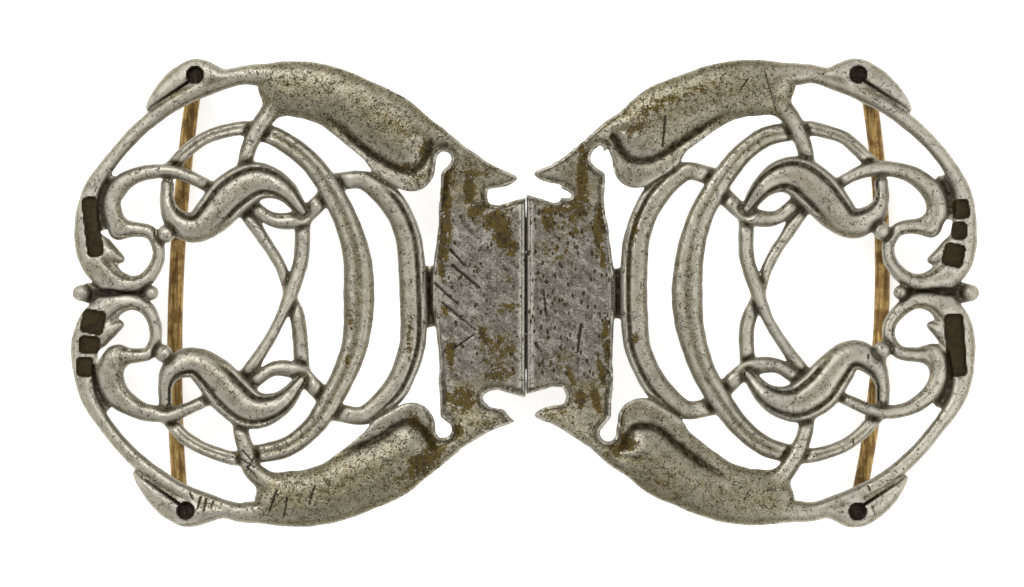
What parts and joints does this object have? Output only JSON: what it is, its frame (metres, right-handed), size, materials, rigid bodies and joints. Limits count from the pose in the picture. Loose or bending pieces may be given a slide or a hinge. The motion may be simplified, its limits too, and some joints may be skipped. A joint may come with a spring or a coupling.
{
  "type": "clasp buckle",
  "caption": "Two-part openwork waist buckle with bird and scroll tracery, a hooked centre seam and a belt bar behind each half.",
  "frame": {"origin": "on the floor below the middle of the centre seam, which is the bottom centre of the bounding box", "axes": "+X across the waist to the right as worn and pictured, +Y up, +Z from the wearer's side to the front; the buckle lies on its back"},
  "size_m": [0.1006, 0.052, 0.0131],
  "materials": {
    "silver": "aged satin silver with fine pits and brown tarnish in the recesses",
    "brass": "dull golden brown"
  },
  "bodies": {
    "root": {"left_frame": "silver", "right_frame": "silver", "left_belt_bar": "brass", "right_belt_bar": "brass", "clasp_hook": "silver"}
  },
  "joints": []
}
